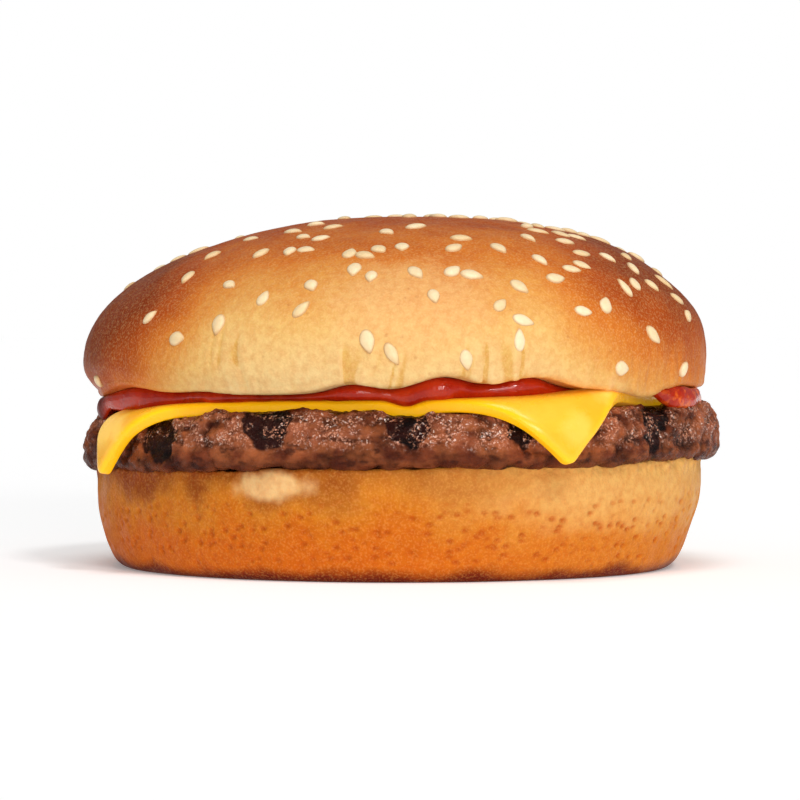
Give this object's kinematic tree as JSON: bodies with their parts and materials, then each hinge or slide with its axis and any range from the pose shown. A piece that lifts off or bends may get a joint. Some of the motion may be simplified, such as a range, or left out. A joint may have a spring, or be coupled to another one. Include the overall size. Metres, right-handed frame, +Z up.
{
  "type": "cheeseburger",
  "caption": "Cheeseburger in a seeded bun: heel, grilled beef patty, a slice of yellow cheese with hanging corners, ketchup and a domed crown with sesame seeds.",
  "frame": {"origin": "on the table, under the middle of the burger", "axes": "+Z up through the layers, -Y towards the front, where one corner of the cheese hangs down, +X to the right"},
  "size_m": [0.1022, 0.1012, 0.0563],
  "materials": {
    "heel_bread": "soft satin crust of a griddled bun, golden brown and paler towards its cut edge",
    "grilled_beef": "moist browned minced beef with near-black grill marks",
    "cheese": "smooth, soft, slightly translucent yellow cheese",
    "ketchup": "wet, glossy red ketchup",
    "crown_bread": "egg-washed golden brown crust with a low sheen, paler at its lower edge",
    "sesame": "smooth cream seed coat"
  },
  "bodies": {
    "root": {"heel_bun": "heel_bread", "patty": "grilled_beef", "cheese_slice": "cheese", "ketchup": "ketchup", "crown_bun": "crown_bread"}
  },
  "joints": []
}
